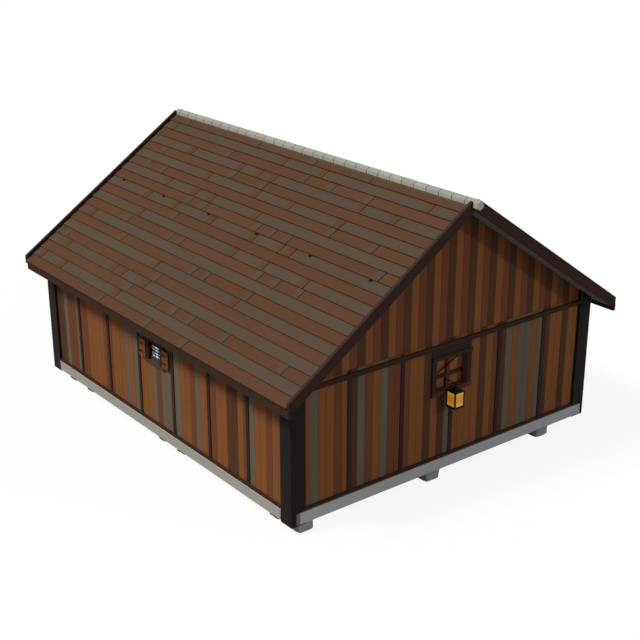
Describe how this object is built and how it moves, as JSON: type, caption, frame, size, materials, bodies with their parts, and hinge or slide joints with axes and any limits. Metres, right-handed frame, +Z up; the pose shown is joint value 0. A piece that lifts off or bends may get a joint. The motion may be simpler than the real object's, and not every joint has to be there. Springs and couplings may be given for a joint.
{
  "type": "granary",
  "caption": "Timber granary raised on field stones: boarded walls between corner posts, board roof, gable hatch, shuttered side windows and a hanging lantern.",
  "frame": {"origin": "middle of the overall box at ground level, under the stones", "axes": "+Z up; +Y from the front gable to the back gable; +X to the right when looking at the front gable"},
  "size_m": [7.61, 9.14, 5.1148],
  "materials": {
    "field_stone": "rough grey field stone",
    "pale_timber": "weathered pale grey, sawn",
    "post_timber": "tarred near-black, matte",
    "floor_boards": "bare boards, dull",
    "wall_boards": "stained boards in orange-brown, grey and dark brown, dull",
    "dark_timber": "dark brown stain, dull",
    "leaf_boards": "orange-brown stain, dull",
    "window_timber": "brown stain, dull",
    "window_glass": "leaded clear glass",
    "shutter_boards": "orange-brown stain with black iron straps",
    "roof_boards": "weathered brown boards, dull",
    "edge_timber": "dark brown stain, dull",
    "ridge_timber": "pale, dull",
    "lantern_iron": "black, satin",
    "amber_glass": "amber, slightly milky"
  },
  "bodies": {
    "house": {"foundation_stones": "field_stone", "front_sill": "pale_timber", "back_sill": "pale_timber", "left_sill": "pale_timber", "right_sill": "pale_timber", "front_left_post": "post_timber", "front_right_post": "post_timber", "back_left_post": "post_timber", "back_right_post": "post_timber", "floor": "floor_boards", "front_wall": "wall_boards", "back_wall": "wall_boards", "left_wall": "wall_boards", "right_wall": "wall_boards", "front_framing": "dark_timber", "back_framing": "dark_timber", "left_framing": "dark_timber", "right_framing": "dark_timber", "front_hatch_frame": "dark_timber", "back_hatch_frame": "dark_timber", "front_hatch_leaf": "leaf_boards", "back_hatch_leaf": "leaf_boards", "left_window_frame": "window_timber", "right_window_frame": "window_timber", "left_window_glass": "window_glass", "right_window_glass": "window_glass", "left_front_shutter": "shutter_boards", "left_rear_shutter": "shutter_boards", "right_front_shutter": "shutter_boards", "right_rear_shutter": "shutter_boards", "left_roof": "roof_boards", "right_roof": "roof_boards", "front_left_barge": "edge_timber", "front_right_barge": "edge_timber", "back_left_barge": "edge_timber", "back_right_barge": "edge_timber", "left_eave_board": "edge_timber", "right_eave_board": "edge_timber", "ridge_pole": "ridge_timber", "lantern_bracket": "lantern_iron"},
    "lantern": {"lantern_frame": "lantern_iron", "lantern_glass": "amber_glass"}
  },
  "joints": [
    {"name": "lantern_swing", "type": "hinge", "parent": "house", "child": "lantern", "pos_m": [-0.055, -4.22, 1.805], "axis": [0, 1, 0], "range_deg": [-25, 25]}
  ]
}
